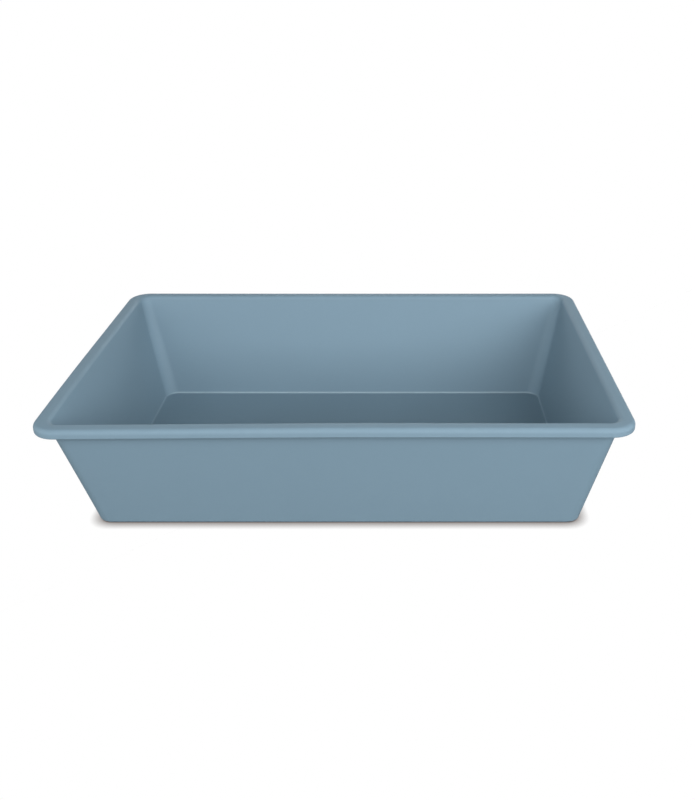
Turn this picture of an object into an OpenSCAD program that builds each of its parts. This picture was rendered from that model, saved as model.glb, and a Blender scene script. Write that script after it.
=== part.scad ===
// A rectangular mud pan, moulded in one piece from a satin blue-grey plastic.
// Four drafted walls rise from a flat floor to a flat rim, which rolls over into a short lip.
// The origin is at the middle of the face that the pan rests on. +X is its length, +Z is up.

/* [Overall] */
// Length over the rim
rim_len = 457; // [330:1:600]
// Width over the rim
rim_wid = 305; // [220:1:420]
// Height from the resting face to the top of the rim
pan_h = 103; // [70:1:160]

/* [Walls and floor] */
// Thickness of the walls, square to their faces
wall_t = 2.4; // [1.8:0.1:3.5]
// Thickness of the floor over the foot band
floor_t = 2.6; // [2.4:0.1:5]
// Lean of the walls from upright, in degrees
draft = 11.7; // [4:0.1:14]
// Radius of the upright outside corners
corner_r = 10.5; // [8:0.5:24]
// Extra radius of the inside corners, where the plastic is thicker
corner_fill = 2.5; // [0:0.5:5]

/* [Rim] */
// Distance that the rim stands out past the walls
rim_reach = 9.5; // [9:0.5:20]
// Thickness of the rim and its lip
rim_t = 2.4; // [1.8:0.1:3]
// Height of the lip, from the rim's top to its lower edge
lip_h = 7.4; // [6.5:0.1:14]
// Outside radius of the roll between the rim and its lip
roll_r = 4; // [3.5:0.5:6]
// Rounding of the edge between the inside walls and the rim's top
lead_r = 3.8; // [1:0.1:5]

/* [Underside] */
// Width of the foot band that runs round the underside
foot_w = 11; // [6:1:20]
// Height of the foot band
foot_h = 0.6; // [0.4:0.1:1.2]
// Diameter of the moulding gate's stub
gate_d = 9; // [6:1:14]
// Height of the gate's stub, which stays above the resting face
gate_h = 0.3; // [0.2:0.1:0.3]

/* [Hidden] */
$fn = 96;

PLASTIC = [0.49, 0.59, 0.65];

// Overlap that lets joined solids share volume, and lets cutters run past a face
lap = 4;
// Distance that a wall moves out between the resting face and the rim's top
rise = pan_h * tan(draft);
// Half sizes of the walls' outer faces at the rim's top
top_x = rim_len / 2 - rim_reach;
top_y = rim_wid / 2 - rim_reach;
// Half sizes of the walls' outer faces at the resting face
base_x = top_x - rise;
base_y = top_y - rise;
// Half sizes and corner radius of the shallow hollow inside the foot band, in whole millimetres
hollow_x = floor(base_x - foot_w);
hollow_y = floor(base_y - foot_w);
hollow_r = floor(corner_r * 0.65);
// Level distance between a wall's two faces
wall_level = wall_t / cos(draft);
// Radius of the inside corners
inner_r = corner_r - wall_t + corner_fill;
// Amount by which a corner's cylinder stands proud of the walls before it is trimmed
proud = 0.02;
// Extra radius in the turns of the cutter that rounds the rim's inside edge
lead_ease = 0.9;
// Tilt of the line where two walls would meet
corner_tilt = atan(tan(draft) * sqrt(2));

// A slab whose four faces lean out with the draft, from level low to level high.
// half_x and half_y are its half sizes at level 0.
module leaning_slab(half_x, half_y, low, high) {
    x_low = half_x + low * tan(draft);
    x_high = half_x + high * tan(draft);
    y_low = half_y + low * tan(draft);
    y_high = half_y + high * tan(draft);
    intersection() {
        rotate([90, 0, 0])
            linear_extrude(height = 2 * y_high + lap, center = true)
                polygon([[-x_low, low], [x_low, low], [x_high, high], [-x_high, high]]);
        rotate([90, 0, 90])
            linear_extrude(height = 2 * x_high + lap, center = true)
                polygon([[-y_low, low], [y_low, low], [y_high, high], [-y_high, high]]);
    }
}

// One rounded corner of a leaning block: a cylinder tilted along the line where the two walls
// would meet. It is a hair proud of both walls and is trimmed flush with them.
module leaning_corner(half_x, half_y, r, low, high) {
    reach = r / cos(draft);
    intersection() {
        translate([half_x - reach, half_y - reach, 0])
            rotate(a = corner_tilt, v = [-1, 1, 0])
                translate([0, 0, low - 2 * r])
                    cylinder(r = r + proud, h = high - low + 4 * r);
        leaning_slab(half_x, half_y, low, high);
    }
}

// A block with leaning faces and rounded upright corners of one radius all the way up
module leaning_block(half_x, half_y, r, low, high) {
    inset = r * cos(draft);
    leaning_slab(half_x - inset, half_y, low, high);
    leaning_slab(half_x, half_y - inset, low, high);
    for (sx = [0, 1], sy = [0, 1])
        mirror([sx, 0, 0])
            mirror([0, sy, 0])
                leaning_corner(half_x, half_y, r, low, high);
}

// A bar section whose far upper corner is rounded
module rolled_section(w, h, r) {
    square([w - r, h]);
    square([w, h - r]);
    translate([w - r, h - r])
        circle(r = r);
}

// The rim and lip in section, measured outward from a line that lies inside the wall
module rim_section() {
    reach = rim_reach + lap;
    difference() {
        rolled_section(reach, lip_h, roll_r);
        translate([-lap, -lap])
            rolled_section(reach + lap - rim_t, lip_h + lap - rim_t, roll_r - rim_t);
    }
}

// Carries a section round the pan, in four straight runs and four quarter turns.
// The section's zero line follows a rounded rectangle of these half sizes and corner radius.
module carried_round(half_x, half_y, r) {
    run_x = half_x - r;
    run_y = half_y - r;
    for (side = [0, 180]) {
        rotate([0, 0, side])
            translate([run_x, run_y, 0])
                rotate([90, 0, 0])
                    linear_extrude(height = 2 * run_y)
                        translate([r, 0])
                            children();
        rotate([0, 0, side + 90])
            translate([run_y, run_x, 0])
                rotate([90, 0, 0])
                    linear_extrude(height = 2 * run_x)
                        translate([r, 0])
                            children();
    }
    for (sx = [0, 1], sy = [0, 1])
        mirror([sx, 0, 0])
            mirror([0, sy, 0])
                translate([run_x, run_y, 0])
                    rotate_extrude(angle = 90)
                        translate([r, 0])
                            children();
}

// The rim and its lip, all the way round
module rim() {
    translate([0, 0, pan_h - lip_h])
        carried_round(top_x - lap, top_y - lap, corner_r - lap)
            rim_section();
}

// What is cut away above the rounded edge between a wall and the rim, in section.
// Zero is where the wall's inside face would meet the rim's top.
module lead_section() {
    centre = lead_r * (1 - sin(draft)) / cos(draft) - proud;
    touch = lead_r * cos(draft) - centre;
    depth = lead_r * (1 - sin(draft));
    difference() {
        polygon([[centre, lap], [centre, -depth], [-touch - lap, -depth], [-touch - lap, lap]]);
        translate([centre, -lead_r])
            circle(r = lead_r);
    }
}

// The cutter that rounds the rim's inside edge. Its turns are a little wider than the walls'
// corners, so that it leaves the walls below it whole.
module lead_cut() {
    translate([0, 0, pan_h])
        carried_round(top_x - wall_level, top_y - wall_level, inner_r + lead_ease)
            lead_section();
}

// A plate with rounded corners, centred on the origin
module rounded_plate(half_x, half_y, r, h) {
    linear_extrude(height = h) {
        square([2 * (half_x - r), 2 * half_y], center = true);
        square([2 * half_x, 2 * (half_y - r)], center = true);
        for (sx = [-1, 1], sy = [-1, 1])
            translate([sx * (half_x - r), sy * (half_y - r)])
                circle(r = r);
    }
}

// The whole pan: one moulding, hollow inside and recessed a little underneath
module pan() {
    color(PLASTIC) {
        difference() {
            union() {
                leaning_block(base_x, base_y, corner_r, 0, pan_h);
                rim();
            }
            leaning_block(base_x - wall_level, base_y - wall_level, inner_r, floor_t, pan_h + lap);
            lead_cut();
            translate([0, 0, -lap])
                rounded_plate(hollow_x, hollow_y, hollow_r, lap + foot_h);
        }
        translate([0, 0, foot_h - gate_h])
            cylinder(d = gate_d, h = gate_h + floor_t - foot_h);
    }
}

pan();
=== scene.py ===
# %% [markdown]
# # A moulded mud pan
# The pan is one injection moulding: a flat floor, four leaning walls, and a rim that rolls over
# into a short lip. The CAD model settles its size, so the lesson starts by loading that model and
# measuring it. Nothing made later may be larger than this box.

# %% Load the CAD model and measure it
import math

import bmesh
import bpy
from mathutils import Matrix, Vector


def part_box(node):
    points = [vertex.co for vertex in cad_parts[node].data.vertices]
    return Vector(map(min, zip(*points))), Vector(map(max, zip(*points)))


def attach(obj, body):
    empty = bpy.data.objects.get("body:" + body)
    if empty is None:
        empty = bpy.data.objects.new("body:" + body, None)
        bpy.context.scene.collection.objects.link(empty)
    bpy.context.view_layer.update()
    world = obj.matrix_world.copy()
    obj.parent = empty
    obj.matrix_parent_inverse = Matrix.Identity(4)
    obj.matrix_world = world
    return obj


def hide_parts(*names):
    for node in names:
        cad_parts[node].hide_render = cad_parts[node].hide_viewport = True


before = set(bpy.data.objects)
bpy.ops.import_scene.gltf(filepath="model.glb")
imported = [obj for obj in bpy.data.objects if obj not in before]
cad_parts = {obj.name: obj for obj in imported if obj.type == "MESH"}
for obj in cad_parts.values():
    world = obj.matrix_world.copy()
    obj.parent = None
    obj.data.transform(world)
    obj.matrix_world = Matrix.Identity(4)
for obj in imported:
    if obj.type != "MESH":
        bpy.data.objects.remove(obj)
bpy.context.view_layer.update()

MM = 0.001
pan_low, pan_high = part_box("pan")
pan_length, pan_width, pan_height = pan_high - pan_low
print("CAD box in mm:", [round(side / MM, 1) for side in (pan_length, pan_width, pan_height)])

# %% [markdown]
# ## Sizes of the walls and floor
# The pan could be one box scaled to fit, but the thickness of its plastic has to stay real. So the
# sizes come as on a moulder's drawing: a thickness, a draft angle that lets the pan leave its
# mould, and the radii of the corners. Inside, the corners are filled out, and most near the
# floor, so that a trowel can scrape them clean.

# %% Walls and floor
draft = math.radians(11.7)
wall_thick = 2.4 * MM
floor_top = 2.6 * MM
outer_corner = 10.5 * MM
fill_at_rim = 1.5 * MM
fill_at_floor = 5 * MM
tightest_corner = 6 * MM
wall_level = wall_thick / math.cos(draft)
print("level distance through a wall in mm:", round(wall_level / MM, 2))

# %% [markdown]
# ## Sizes of the rim and the edges
# The rim stands out past the walls, rolls over, and hangs down as a lip. A sharp edge never looks
# real, because no mould or hand leaves one, so even the smallest edges here get a radius.

# %% Rim and edges
rim_reach = 9.5 * MM
rim_thick = 2.4 * MM
lip_height = 7.4 * MM
roll_radius = 4 * MM
lead_radius = 3.8 * MM
floor_fillet = 1.6 * MM
base_radius = 2.6 * MM
lip_edge_radius = 0.9 * MM
rim_half = Vector((pan_length / 2 - rim_reach, pan_width / 2 - rim_reach))
print("half sizes of the walls at the rim in mm:", [round(side / MM, 1) for side in rim_half])

# %% [markdown]
# ## The section as a walk
# Cut through a wall and rim, and the pan is one thin closed line: up the inside, over the rim,
# round the lip, and back down the outside. It could be drawn with a bevelled curve, but then the
# corners of the pan would pinch. Here the line is a list of stations. Each holds how far out it
# is from the wall's top, how high it is, and how much that place gets rubbed in use, from 0 to 1.
# Three small helpers make the walk: one finds a place on a leaning wall, one walks round an arc,
# and one walks along a straight. A straight keeps a station close to each of its ends, so that
# the smooth shading of a rounded edge doesn't spread into the flat beside it.

# %% Helpers for the walk
hold_distance = 0.4 * MM
shortest_straight = 1 * MM


def leaning_out(height, inset=0.0):
    """How far out a leaning wall face is at a height; inset moves from the outside face inward."""
    return -inset - (pan_height - height) * math.tan(draft)


def arc(out, up, radius, start, end, steps, rubbed=0.0):
    """Stations round an arc, between two angles in degrees: 0 is outward and 90 is up."""
    stations = []
    for i in range(steps + 1):
        angle = math.radians(start + (end - start) * i / steps)
        stations.append((out + radius * math.cos(angle), up + radius * math.sin(angle), rubbed))
    return stations


def straight(first, last, steps):
    """Stations strictly between two others, with one close to each end."""
    hold = hold_distance / max(math.dist(first[:2], last[:2]), shortest_straight)
    shares = [hold] + [i / steps for i in range(1, steps)] + [1 - hold]
    return [tuple(a + (b - a) * s for a, b in zip(first, last)) for s in shares]


print("a wall's foot is further in than its top, in mm, by", round(-leaning_out(0) / MM, 1))

# %% [markdown]
# ## Walk up the inside
# The inside meets the floor in a small fillet, so that a trowel can clear the corner. At the top
# a wider rounding leads on to the flat rim. Both meet the leaning wall without a kink, so each of
# them turns through 90 degrees less the draft.

# %% Inside
draft_deg = math.degrees(draft)
fillet_up = floor_top + floor_fillet
fillet_out = leaning_out(fillet_up, wall_level) - floor_fillet / math.cos(draft)
inside_foot = arc(fillet_out, fillet_up, floor_fillet, -90, -draft_deg, steps=6)

lead_up = pan_height - lead_radius
lead_out = leaning_out(lead_up, wall_level) + lead_radius / math.cos(draft)
inside_lead = arc(lead_out, lead_up, lead_radius, 180 - draft_deg, 90, steps=8, rubbed=0.5)

walk = list(inside_foot)
walk += straight(inside_foot[-1], inside_lead[0], steps=6) + inside_lead
print("stations up the inside:", len(walk))

# %% [markdown]
# ## Walk over the rim and round the lip
# The rim rolls over into the lip, and the lip hangs free of the wall. That makes the edge stiff
# and gives fingers something to pull on. Its edges are rubbed the most, so their stations have
# the highest wear.

# %% Rim and lip
roll_out = rim_reach - roll_radius
roll_up = pan_height - roll_radius
rim_roll = arc(roll_out, roll_up, roll_radius, 90, 0, steps=9, rubbed=0.8)

lip_out = rim_reach - lip_edge_radius
lip_in = rim_reach - rim_thick + lip_edge_radius
lip_up = pan_height - lip_height + lip_edge_radius
lip_outer = arc(lip_out, lip_up, lip_edge_radius, 0, -90, steps=4, rubbed=1.0)
lip_inner = arc(lip_in, lip_up, lip_edge_radius, -90, -180, steps=4, rubbed=0.6)

walk += straight(inside_lead[-1], rim_roll[0], steps=2) + rim_roll
walk += straight(rim_roll[-1], lip_outer[0], steps=2) + lip_outer + lip_inner
print("stations as far as the lip:", len(walk))

# %% [markdown]
# ## Walk back under the rim
# A moulding keeps nearly one thickness, because thick places sink as they cool. So the hidden
# bends under the rim share their centres with the ones above, and their radii are smaller by the
# thickness of the rim.

# %% Under the rim
under_roll = arc(roll_out, roll_up, roll_radius - rim_thick, 0, 90, steps=5)
under_radius = lead_radius - rim_thick
under_up = pan_height - rim_thick - under_radius
under_out = leaning_out(under_up) + under_radius / math.cos(draft)
under_fillet = arc(under_out, under_up, under_radius, 90, 180 - draft_deg, steps=5)

walk += straight(lip_inner[-1], under_roll[0], steps=2) + under_roll
walk += straight(under_roll[-1], under_fillet[0], steps=2) + under_fillet
print("stations as far as the outside wall:", len(walk))

# %% [markdown]
# ## Walk down the outside to the foot band
# The outside falls straight to a small base radius and the foot band, a flat strip round the
# underside that the pan stands on. Inside the band the underside steps up a little, which lets a
# moulded floor settle without making the pan rock.

# %% Outside and foot band
foot_width = 11 * MM
foot_step = 0.6 * MM
step_radius = 0.25 * MM

base_out = leaning_out(base_radius) - base_radius / math.cos(draft)
base_edge = arc(base_out, base_radius, base_radius, -draft_deg, -90, steps=6, rubbed=0.9)
step_out = leaning_out(0) - foot_width
step_edge = arc(step_out + step_radius, step_radius, step_radius, -90, -180, steps=3, rubbed=0.5)
step_top = arc(step_out - step_radius, foot_step - step_radius, step_radius, 0, 90, steps=3)

walk += straight(under_fillet[-1], base_edge[0], steps=8) + base_edge
walk += straight(base_edge[-1], step_edge[0], steps=2) + step_edge + step_top
print("stations in the whole walk:", len(walk))

# %% [markdown]
# ## The corners of a ring
# Every station becomes a ring round the pan. Outside, the ring's corners keep one radius all the
# way up the wall. Inside, the wall's thickness comes off it and the fill is added. Over the rim
# the corners widen again with the section. One function finds the radius for any station, so
# that it changes smoothly from one ring to the next.

# %% Corner radius
def corner_radius(out, up):
    """Plan radius of the corners at a station, with the extra fill that the inside corners have."""
    wall_share = 1 - min(max(out / (rim_reach / 2), 0), 1)
    behind_outside = leaning_out(up) - out
    inside_share = min(max(behind_outside / wall_level, 0), 1) * wall_share
    fill = fill_at_floor + (fill_at_rim - fill_at_floor) * up / pan_height
    radius = outer_corner + out - leaning_out(up) * wall_share + fill * inside_share
    return max(radius, tightest_corner)


corner_stations = {"floor fillet": walk[0], "rim's outside": rim_roll[-1]}
for place, (out, up, _) in corner_stations.items():
    print("corner radius at the", place, "in mm:", round(corner_radius(out, up) / MM, 1))

# %% [markdown]
# ## One ring for each station
# A ring is four straight sides joined by quarter turns. Every ring has the same number of points,
# so neighbouring rings join in clean four-sided faces. The sides get many points although they
# look straight, because they will bow a little when the moulding cools.

# %% Rings
points_along = 26
points_across = 18
points_in_turn = 14


def on_circle(degrees):
    """A point on a circle of radius 1, at an angle in degrees."""
    return Vector((math.cos(math.radians(degrees)), math.sin(math.radians(degrees))))


def ring(half_x, half_y, radius, up):
    """Points round a rounded rectangle, from the right end round by the back, left and front."""
    points = []
    turns = [(1, 1, 0), (-1, 1, 90), (-1, -1, 180), (1, -1, 270)]
    for (sx, sy, start), (next_sx, next_sy, _) in zip(turns, turns[1:] + turns[:1]):
        centre = Vector((sx * (half_x - radius), sy * (half_y - radius)))
        for i in range(points_in_turn + 1):
            points.append(centre + radius * on_circle(start + 90 * i / points_in_turn))
        finish = Vector((next_sx * (half_x - radius), next_sy * (half_y - radius)))
        finish += radius * on_circle(start + 90)
        count = points_along if sy == next_sy else points_across
        begin = points[-1]
        points += [begin.lerp(finish, i / count) for i in range(1, count)]
    return [Vector((p.x, p.y, up)) for p in points]


rings = []
for out, up, rubbed in walk:
    rings.append((ring(rim_half.x + out, rim_half.y + out, corner_radius(out, up), up), rubbed))
print("points in a ring:", len(rings[0][0]))

# %% [markdown]
# ## Close the floor
# The walk starts at the foot of the inside walls and ends under the pan, so two openings are
# left. One big face would close each, but it couldn't sink or take the light smoothly. So they
# are filled with rings that shrink towards the middle, and turn from a rectangle into a circle
# on the way.

# %% Floor rings
floor_circle = 6 * MM
shrink_shares = (0.96, 0.88, 0.76, 0.62, 0.46, 0.30, 0.16)


def towards_circle(outline, radius, share):
    """The outline at a share of its size, blended towards a circle as the share gets small."""
    blended = []
    for p in outline:
        flat = Vector((p.x, p.y))
        round_place = flat.normalized() * radius
        q = round_place.lerp(flat, share)
        blended.append(Vector((q.x, q.y, p.z)))
    return blended


floor_outline = rings[0][0]
floor_rings = []
for share in (0.0, *reversed(shrink_shares)):
    floor_rings.append((towards_circle(floor_outline, floor_circle, share), 0.0))
print("floor rings:", len(floor_rings))

# %% [markdown]
# ## Close the underside round the gate
# Plastic runs into a mould through a gate, and most mouldings keep the cut stub of it somewhere.
# Here it is in the middle of the underside, where the shrinking rings end: the last few step down
# to make a low round stub, which stays clear of the table.

# %% Underside rings
gate_radius = 4.5 * MM
gate_drop = 0.3 * MM
gate_rubbed = 0.3
gate_profile = ((1.06, 0.0), (1.0, 0.12), (0.98, 0.9), (0.92, 1.0), (0.4, 0.8))

under_outline = rings[-1][0]
under_rings = []
for share in shrink_shares:
    under_rings.append((towards_circle(under_outline, gate_radius, share), 0.0))
for radius_share, drop_share in gate_profile:
    circle = towards_circle(under_outline, gate_radius * radius_share, 0.0)
    stub = [p - Vector((0, 0, gate_drop * drop_share)) for p in circle]
    under_rings.append((stub, gate_rubbed * drop_share))
rings = floor_rings + rings + under_rings
print("rings in all:", len(rings))

# %% [markdown]
# ## The set that a moulding takes as it cools
# A perfect extruded box looks computed. A big thin moulding cools unevenly, so its long walls
# draw in a little, most at two thirds of their height, the floor sinks in the middle, and the
# rim isn't quite level: here the near left corner hangs about 2 mm low. It could be done with a
# lattice, but a smooth function that moves the ring points says exactly what happens where. The
# foot band stays flat, because the pan stands on it.

# %% Cooling set
wall_draw = 0.5 * MM
most_drawn_at = 2 / 3
corner_hang = 1.9 * MM
floor_sink = 0.35 * MM
sink_from = floor_top / 2
sink_to = 0.05 * pan_height


def cooled(p):
    """Where a point of the perfect shape ends up once the moulding has cooled."""
    height_share = min(max(p.z / pan_height, 0.0), 1.0)
    along = p.x / (pan_length / 2)
    across = p.y / (pan_width / 2)
    drawn = wall_draw * math.sin(math.pi / 2 * height_share / most_drawn_at) * (1 - along**2)
    left_share = min(max(-along, 0.0), 1.0)
    near_share = min(max(-across, 0.0), 1.0) ** 2
    hang = corner_hang * left_share * near_share * height_share**2
    middle = max(0.0, 1 - along**2) * max(0.0, 1 - across**2)
    sink = floor_sink * middle if sink_from < p.z < sink_to else 0.0
    return Vector((p.x, p.y - math.copysign(drawn, p.y) * abs(across), p.z - hang - sink))


near_left = Vector((-pan_length / 2, -pan_width / 2, pan_height))
print("the near left corner hangs, in mm:", round((near_left.z - cooled(near_left).z) / MM, 2))

# %% [markdown]
# ## Points that remember their wear and a highlight line
# The rings become points in bmesh, which is the direct way to build a shape that is worked out
# rather than sculpted. Each point carries two values that the plastic reads later: how rubbed it
# is, and how strong a line round the floor's fillet is. That line is a painted highlight, a paler
# colour where a thin bright line of light falls, and it also makes the plastic smoother there. It
# is weaker at the two short ends.

# %% Points
polish_and_highlight_fade = 8 * MM
polish_and_highlight_at_ends = 0.25
first_fillet = len(floor_rings)
last_fillet = first_fillet + len(inside_foot) - 1

build = bmesh.new()
rubbed_layer = build.verts.layers.float.new("rubbed")
# This layer holds the fillet line: a painted highlight, and a smoother strip of plastic.
polish_and_highlight_layer = build.verts.layers.float.new("polish_and_highlight")


def polish_and_highlight_at(vertex):
    """Strength of the fillet line at a point: painted highlight colour and smoother plastic."""
    end_distance = rim_half.x + fillet_out - abs(vertex.co.x)
    return min(max(end_distance / polish_and_highlight_fade, polish_and_highlight_at_ends), 1.0)


loops = []
for i, (points, rubbed) in enumerate(rings):
    loop = [build.verts.new(cooled(p)) for p in points]
    on_fillet = first_fillet < i < last_fillet
    for vertex in loop:
        vertex[rubbed_layer] = rubbed
        vertex[polish_and_highlight_layer] = polish_and_highlight_at(vertex) if on_fillet else 0.0
    loops.append(loop)
print("points:", len(build.verts))

# %% [markdown]
# ## Join the rings
# Neighbouring rings are joined face by face, and the small holes left in the middle of the floor
# and of the stub are closed with one face each. Then all faces are turned outward and shaded
# smooth. No edge may be left open, or the pan isn't a solid thing.

# %% Faces
for first, second in zip(loops, loops[1:]):
    count = len(first)
    for i in range(count):
        j = (i + 1) % count
        build.faces.new((first[i], first[j], second[j], second[i]))
build.faces.new(list(reversed(loops[0])))
build.faces.new(loops[-1])
bmesh.ops.recalc_face_normals(build, faces=build.faces)
for face in build.faces:
    face.smooth = True
open_edges = sum(1 for edge in build.edges if not edge.is_manifold)

mesh = bpy.data.meshes.new("pan_moulding")
build.to_mesh(mesh)
build.free()
pan_piece = bpy.data.objects.new("pan_moulding", mesh)
bpy.context.collection.objects.link(pan_piece)
print("faces:", len(mesh.polygons), "open edges:", open_edges)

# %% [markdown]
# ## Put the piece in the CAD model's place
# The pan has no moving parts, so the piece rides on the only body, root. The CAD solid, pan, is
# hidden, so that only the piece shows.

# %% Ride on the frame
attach(pan_piece, "root")
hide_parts("pan")
print("rides on root:", pan_piece.name)

# %% [markdown]
# ## Two helpers for nodes
# A material is a little net of nodes. Making and joining them one property at a time gets long,
# so one helper makes a node with its values set, and one adds a share of a value to another.

# %% Node helpers
def add_node(owner, kind, **settings):
    """A new node with its sockets and properties set by name; _ stands for a space in a socket."""
    node = owner.node_tree.nodes.new(kind)
    for name, value in settings.items():
        socket = name.replace("_", " ")
        if socket in node.inputs:
            node.inputs[socket].default_value = value
        else:
            setattr(node, name, value)
    return node


def add_share(owner, source, share, base):
    """The value of base plus a share of the value of source."""
    node = add_node(owner, "ShaderNodeMath", operation="MULTIPLY_ADD")
    node.inputs[1].default_value = share
    owner.node_tree.links.new(source, node.inputs[0])
    owner.node_tree.links.new(base, node.inputs[2])
    return node.outputs[0]


print("helpers for nodes: add_node and add_share")

# %% [markdown]
# ## Satin moulded plastic
# The real pan is polypropylene with its colour mixed in, so it is one colour right through and
# has a soft satin shine. Paint or metal would need layers, but this needs one Principled shader
# with a mid roughness. What is the same all over is set on the shader itself.

# %% Plastic
plastic = bpy.data.materials.new("satin_plastic")
plastic.use_nodes = True
link = plastic.node_tree.links.new
shader = plastic.node_tree.nodes["Principled BSDF"]
shader.inputs["IOR"].default_value = 1.49
shader.inputs["Specular IOR Level"].default_value = 0.24
pan_piece.data.materials.append(plastic)
print("plastic on:", pan_piece.name)

# %% [markdown]
# ## Pigment and grain
# A flat colour looks like a drawing. In a real moulding the pigment flows unevenly, over spans of
# about a hand's width, and the mould's spark texture leaves a grain finer than a millimetre. Two
# noises stand for them, and together they make the shade a few hundredths lighter or darker.

# %% Pigment and grain
place = add_node(plastic, "ShaderNodeTexCoord")
flow = add_node(plastic, "ShaderNodeTexNoise", Scale=9.0, Detail=3.0, Roughness=0.55)
speckle = add_node(plastic, "ShaderNodeTexNoise", Scale=1400.0, Detail=2.0)
link(place.outputs["Object"], flow.inputs["Vector"])
link(place.outputs["Object"], speckle.inputs["Vector"])

flow_share = 0.35
darkest, lightest = 0.97, 1.03
uneven = add_share(plastic, flow.outputs["Fac"], flow_share, speckle.outputs["Fac"])
shade = add_node(plastic, "ShaderNodeMapRange", From_Min=0.35, To_Min=darkest, To_Max=lightest)
link(uneven, shade.inputs["Value"])
print("shade varies from", darkest, "to", lightest)

# %% [markdown]
# ## Worn patches
# Edges wear in patches, where the pan was stacked or dragged. So the rubbed value of the points
# is multiplied by a noise with clear gaps in it. The wear is light: a plastic that is coloured
# right through only gets a little paler.

# %% Worn patches
wear_strength = 0.15
wear = add_node(plastic, "ShaderNodeAttribute", attribute_name="rubbed")
patches = add_node(plastic, "ShaderNodeTexNoise", Scale=60.0, Detail=5.0, Roughness=0.65)
link(place.outputs["Object"], patches.inputs["Vector"])
patch_range = add_node(plastic, "ShaderNodeMapRange", From_Min=0.42, From_Max=0.72)
link(patches.outputs["Fac"], patch_range.inputs["Value"])
worn = add_node(plastic, "ShaderNodeMath", operation="MULTIPLY")
link(wear.outputs["Fac"], worn.inputs[0])
link(patch_range.outputs["Result"], worn.inputs[1])
worn_soft = add_node(plastic, "ShaderNodeMath", operation="MULTIPLY")
worn_soft.inputs[1].default_value = wear_strength
link(worn.outputs[0], worn_soft.inputs[0])
print("strength of the wear:", wear_strength)

# %% [markdown]
# ## Colour
# Three colours are enough: the blue-grey of the moulding, a slightly paler one for worn patches,
# and the palest as a painted highlight, a thin bright line along the floor's fillet. They are
# mixed by the wear and by that line, and the shade of the pigment then goes over them all.

# %% Colour
plastic_colour = (0.160, 0.242, 0.303, 1.0)
plastic_pale = (0.190, 0.280, 0.345, 1.0)
# The palest colour is a painted highlight along the floor's fillet, not a colour of the plastic.
plastic_painted_highlight = (0.275, 0.370, 0.430, 1.0)

polish_and_highlight = add_node(plastic, "ShaderNodeAttribute", attribute_name="polish_and_highlight")
colour = add_node(plastic, "ShaderNodeMix", data_type="RGBA", A=plastic_colour, B=plastic_pale)
link(worn_soft.outputs[0], colour.inputs["Factor"])
# This mix paints the highlight line along the floor's fillet.
with_painted_highlight = add_node(plastic, "ShaderNodeMix", data_type="RGBA", B=plastic_painted_highlight)
link(colour.outputs["Result"], with_painted_highlight.inputs["A"])
link(polish_and_highlight.outputs["Fac"], with_painted_highlight.inputs["Factor"])
tint = add_node(plastic, "ShaderNodeVectorMath", operation="SCALE")
link(with_painted_highlight.outputs["Result"], tint.inputs[0])
link(shade.outputs["Result"], tint.inputs["Scale"])
link(tint.outputs["Vector"], shader.inputs["Base Color"])
print("plastic's colour:", plastic_colour[:3])

# %% [markdown]
# ## Gloss
# The gloss changes where the pigment does, since both come from how the plastic flowed. Rubbed
# edges are scuffed and duller, and the line round the floor's fillet, which also carries the
# painted highlight, is smoother.

# %% Gloss
scuffed_by = 0.2
polished_by = 0.28
gloss = add_node(plastic, "ShaderNodeMapRange", To_Min=0.48, To_Max=0.56)
link(flow.outputs["Fac"], gloss.inputs["Value"])
scuffed = add_share(plastic, wear.outputs["Fac"], scuffed_by, gloss.outputs["Result"])
polished = add_share(plastic, polish_and_highlight.outputs["Fac"], -polished_by, scuffed)
link(polished, shader.inputs["Roughness"])
print("rubbed edges are rougher by", scuffed_by, "and the scraped line smoother by", polished_by)

# %% [markdown]
# ## Grain to the touch
# The spark texture can also be felt, as bumps of at most a fiftieth of a millimetre. Bump is
# enough for something so small, because it never shows in an outline.

# %% Grain
grain = add_node(plastic, "ShaderNodeBump", Strength=0.18, Distance=0.02 * MM)
link(speckle.outputs["Fac"], grain.inputs["Height"])
link(grain.outputs["Normal"], shader.inputs["Normal"])
print("nodes in the plastic:", len(plastic.node_tree.nodes))

# %% [markdown]
# ## A pale table
# The pan stands on a plain white sweep with no edges in view. It could be a curved sheet, but a
# very wide flat one does the same. It lies a hair below the foot band, so that the two faces
# don't fight for the same place.

# %% Table
table_reach = 30.0
table_gap = 0.05 * MM
table_corners = [
    (sx * table_reach, sy * table_reach, 0)
    for sx, sy in ((-1, -1), (1, -1), (1, 1), (-1, 1))
]
table_mesh = bpy.data.meshes.new("studio_table")
table_mesh.from_pydata(table_corners, [], [(0, 1, 2, 3)])
table = bpy.data.objects.new("studio_table", table_mesh)
table.location.z = -table_gap
bpy.context.collection.objects.link(table)
print("table half size in m:", table_reach)

# %% [markdown]
# ## The line where the pan stands
# An object that stands on something darkens it in a thin line. An Ambient Occlusion node finds
# that line, because it looks only about a centimetre around. The line is a warm near-black, as
# the shade under a cool-coloured thing looks warm beside it.

# %% Contact line
sweep = bpy.data.materials.new("white_sweep")
sweep.use_nodes = True
sweep_link = sweep.node_tree.links.new
contact_reach = 9.5 * MM
contact_falloff = 1.3
contact_dark = (0.05, 0.02, 0.01, 1)
white = (1, 1, 1, 1)

contact = add_node(sweep, "ShaderNodeAmbientOcclusion", Distance=contact_reach, samples=16)
contact_fade = add_node(sweep, "ShaderNodeMath", operation="POWER")
contact_fade.inputs[1].default_value = contact_falloff
sweep_link(contact.outputs["AO"], contact_fade.inputs[0])
contact_shade = add_node(sweep, "ShaderNodeMix", data_type="RGBA", A=contact_dark, B=white)
sweep_link(contact_fade.outputs[0], contact_shade.inputs["Factor"])
print("the contact line reaches, in mm:", round(contact_reach / MM, 1))

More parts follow.
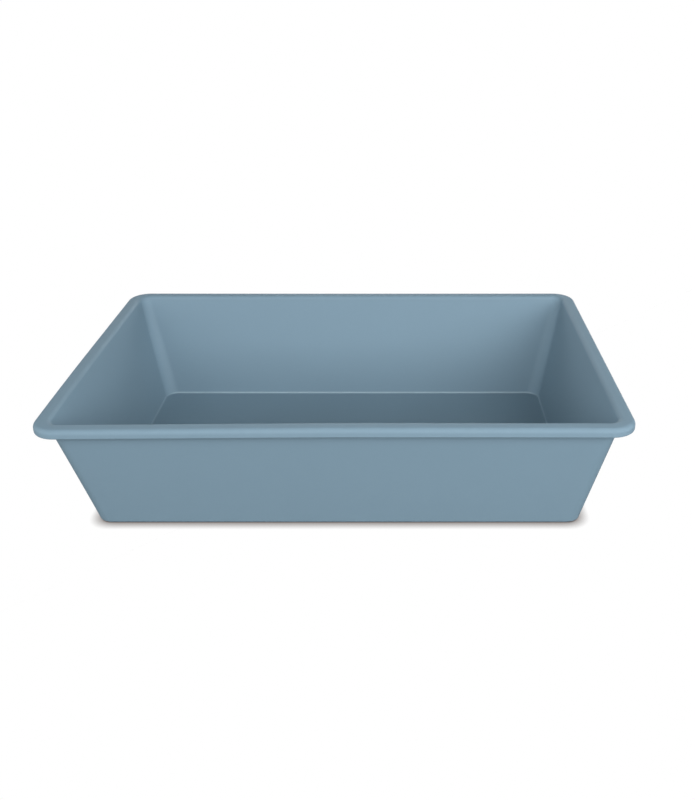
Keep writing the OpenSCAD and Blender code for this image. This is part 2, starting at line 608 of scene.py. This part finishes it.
# %% [markdown]
# ## White to look at, dark to the pan
# A bright table would throw light up at the outside walls and wash them out, so the table only
# looks bright: a Light Path node shows the camera a white glow, and everything else meets a dark
# matt sheet.

# %% Sweep
matt = sweep.node_tree.nodes["Principled BSDF"]
matt.inputs["Base Color"].default_value = (0.16, 0.16, 0.16, 1)
matt.inputs["Roughness"].default_value = 0.9
white_glow = add_node(sweep, "ShaderNodeEmission")
sweep_link(contact_shade.outputs["Result"], white_glow.inputs["Color"])
seen = add_node(sweep, "ShaderNodeLightPath")
shown = add_node(sweep, "ShaderNodeMixShader")
sweep_link(seen.outputs["Is Camera Ray"], shown.inputs[0])
sweep_link(matt.outputs["BSDF"], shown.inputs[1])
sweep_link(white_glow.outputs["Emission"], shown.inputs[2])
sweep_link(shown.outputs["Shader"], sweep.node_tree.nodes["Material Output"].inputs["Surface"])
table.data.materials.append(sweep)
print("nodes in the sweep:", len(sweep.node_tree.nodes))

# %% [markdown]
# ## A softbox
# Soft light comes from a big lamp close by. A softbox here is a square area light that faces the
# middle of the pan. It is placed by how far it is turned from the front and how high it stands,
# both in degrees, and has its power in watts.

# %% Softbox
pan_middle = Vector((0, 0, pan_height / 2))
softbox_distance = 1.8
softbox_size = 0.8


def softbox(name, turn, rise, power):
    """A soft light that faces the middle of the pan."""
    turn, rise = math.radians(turn), math.radians(rise)
    aim = Vector((math.sin(turn) * math.cos(rise), -math.cos(turn) * math.cos(rise), math.sin(rise)))
    data = bpy.data.lights.new(name, "AREA")
    data.shape = "SQUARE"
    data.size = softbox_size
    data.energy = power
    light = bpy.data.objects.new(name, data)
    light.location = pan_middle + softbox_distance * aim
    light.rotation_euler = (-aim).to_track_quat("-Z", "Y").to_euler()
    bpy.context.collection.objects.link(light)
    return light


print("softbox size and distance in m:", softbox_size, softbox_distance)

# %% [markdown]
# ## Lights
# The softboxes stand in a ring round the set. Those in front are low, so that the near wall
# shades the floor while the far wall is bright, and the key light is to the right of the camera.
# Three behind graze the flat of the rim. The fill lights the back wall from outside, and is kept
# out of glossy reflections, so that it doesn't add a second shine to the rim.

# %% Lights
softboxes = {
    "key_softbox": (25, 22, 17.2),
    "front_softbox": (0, 32, 9.6),
    "left_softbox": (-25, 22, 11.3),
    "right_softbox": (50, 20, 9.2),
    "far_left_softbox": (-85, 12, 12.5),
    "high_left_softbox": (-85, 58, 1.8),
    "far_right_softbox": (85, 22, 6),
    "high_right_softbox": (85, 52, 4.2),
    "back_softbox": (180, 15, 6),
    "back_left_softbox": (-150, 18, 2.4),
    "back_right_softbox": (150, 12, 3.4),
}
for name, (turn, rise, power) in softboxes.items():
    softbox(name, turn, rise, power)
rear_fill = softbox("rear_fill", 180, 8, 20)
rear_fill.visible_glossy = False
print("softboxes, with the fill:", len(softboxes) + 1)

# %% [markdown]
# ## The air of the studio
# The background does what the table does: the camera sees plain white, and the pan gets only the
# faint even light that comes off the walls of a dark room.

# %% Background
world = bpy.data.worlds.new("studio_air")
bpy.context.scene.world = world
world.use_nodes = True
world_link = world.node_tree.links.new
room_strength = 0.03
room_light = world.node_tree.nodes["Background"]
room_light.inputs["Color"].default_value = white
room_light.inputs["Strength"].default_value = room_strength
white_backdrop = add_node(world, "ShaderNodeBackground", Color=white)
looked_at = add_node(world, "ShaderNodeLightPath")
air = add_node(world, "ShaderNodeMixShader")
world_link(looked_at.outputs["Is Camera Ray"], air.inputs[0])
world_link(room_light.outputs["Background"], air.inputs[1])
world_link(white_backdrop.outputs["Background"], air.inputs[2])
world_link(air.outputs["Shader"], world.node_tree.nodes["World Output"].inputs["Surface"])
print("room light:", room_strength)

# %% [markdown]
# ## The camera
# The camera stands a little to the right of the middle, looks straight along the pan's width, and
# tips down by 26 degrees. It could be turned towards the pan, but then the long edges would
# slope. So the lens is shifted instead, as with a view camera, which keeps them level.

# %% Camera
camera_place = Vector((0.0491, -0.7373, 0.4138))
camera_tilt = 26.1
camera_data = bpy.data.cameras.new("studio_camera")
camera_data.lens = 40.3
camera_data.shift_x = -0.0644
camera_data.clip_end = 100
camera = bpy.data.objects.new("studio_camera", camera_data)
camera.location = camera_place
camera.rotation_euler = (math.radians(90 - camera_tilt), 0, 0)
bpy.context.collection.objects.link(camera)
bpy.context.scene.camera = camera
bpy.context.scene.view_settings.view_transform = "Standard"
print("camera is from the pan, in m:", round((camera_place - pan_middle).length, 2))
